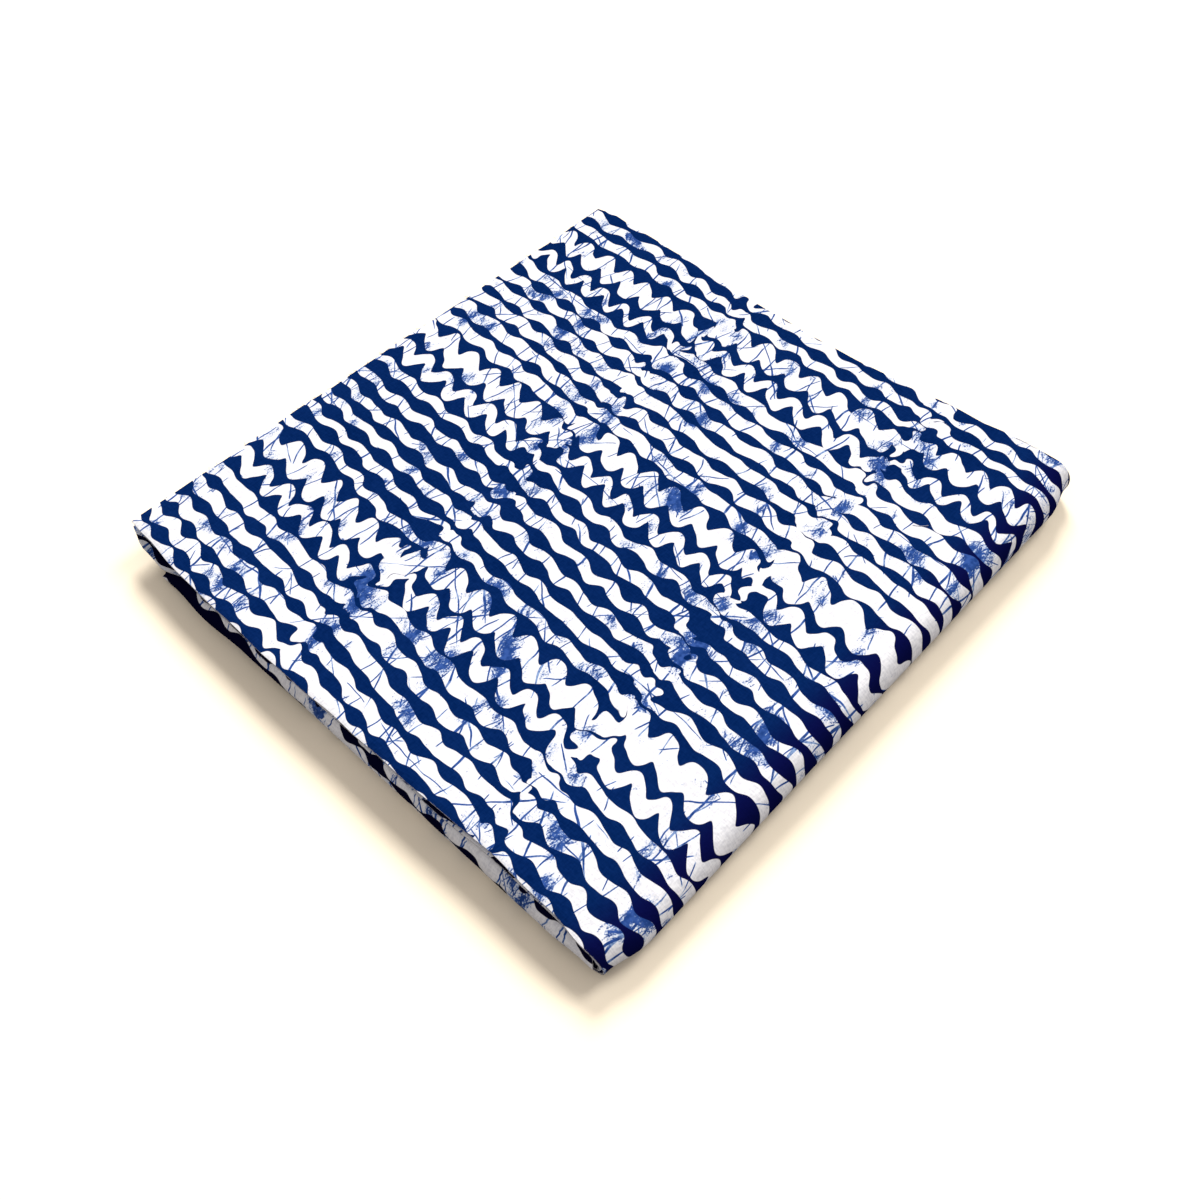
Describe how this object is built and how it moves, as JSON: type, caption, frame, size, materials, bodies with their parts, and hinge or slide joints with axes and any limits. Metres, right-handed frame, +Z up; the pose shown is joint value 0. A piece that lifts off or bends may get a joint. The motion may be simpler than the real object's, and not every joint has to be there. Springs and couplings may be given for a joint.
{
  "type": "folded wax print fabric",
  "caption": "Length of wax-resist printed cotton folded flat into a near-square pack, with a doubled top ply wrapped round one side and a fat fold along the next.",
  "frame": {"origin": "on the surface that the pack lies on, under the middle of its bounding box", "axes": "+Z up through the plies, +X towards the side that the cover wraps round, +Y towards the back folds; the free edges and the fattest fold are along -Y"},
  "size_m": [0.2836, 0.3022, 0.0179],
  "materials": {
    "cotton": "matte plain-weave cotton, indigo and white wax-resist print"
  },
  "bodies": {
    "root": {"cloth": "cotton"}
  },
  "joints": []
}
